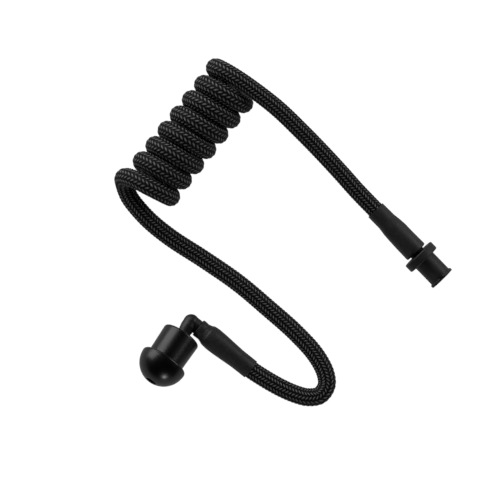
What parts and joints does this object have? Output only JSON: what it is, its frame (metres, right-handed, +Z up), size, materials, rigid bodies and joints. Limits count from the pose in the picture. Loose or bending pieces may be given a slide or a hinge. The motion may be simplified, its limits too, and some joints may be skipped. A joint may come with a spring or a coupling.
{
  "type": "coiled acoustic tube",
  "caption": "Braid-covered coiled air tube that carries sound from a radio earpiece to a soft mushroom ear tip, with an elbow and a twist-lock plug.",
  "frame": {"origin": "middle, seen from above, of the box round the ear tip, elbow, shrink sleeves and plug, on the surface the object lies on", "axes": "+Z up from that surface, +X from the ear tip towards the plug, +Y towards the coil"},
  "size_m": [0.0897, 0.0926, 0.0165],
  "materials": {
    "silicone": "satin black silicone",
    "elbow_plastic": "black moulded plastic, half gloss",
    "plug_plastic": "black moulded plastic, fine grain",
    "shrink_sleeve": "matte black heat-shrink",
    "braid": "black polyester braid",
    "air_tube": "smooth black soft plastic"
  },
  "bodies": {
    "ear_lead": {"elbow": "elbow_plastic", "ear_shrink_sleeve": "shrink_sleeve", "jacket_ear_lead": "braid", "air_tube_ear_lead": "air_tube", "jacket_coil": "braid", "air_tube_coil": "air_tube"},
    "tip": {"ear_tip": "silicone"},
    "plug_lead": {"jacket_plug_lead": "braid", "air_tube_plug_lead": "air_tube", "plug_shrink_sleeve": "shrink_sleeve"},
    "plug": {"twist_lock_plug": "plug_plastic"}
  },
  "joints": [
    {"name": "ear_tip_swivel", "type": "hinge", "parent": "ear_lead", "child": "tip", "pos_m": [-0.0277, -0.0072, 0.00385], "axis": [-0.5429, -0.7989, 0.2588], "continuous": true},
    {"name": "coil_stretch", "type": "slide", "parent": "ear_lead", "child": "plug_lead", "axis": [0.6225, 0.7826, 0], "range_m": [0, 0.045], "stiffness_N_per_m": 25, "deforming": ["jacket_coil", "air_tube_coil"]},
    {"name": "plug_twist", "type": "hinge", "parent": "plug_lead", "child": "plug", "pos_m": [0.0337, 0.0101, 0.00482], "axis": [0.6962, -0.7159, -0.0523], "range_deg": [0, 90]}
  ]
}
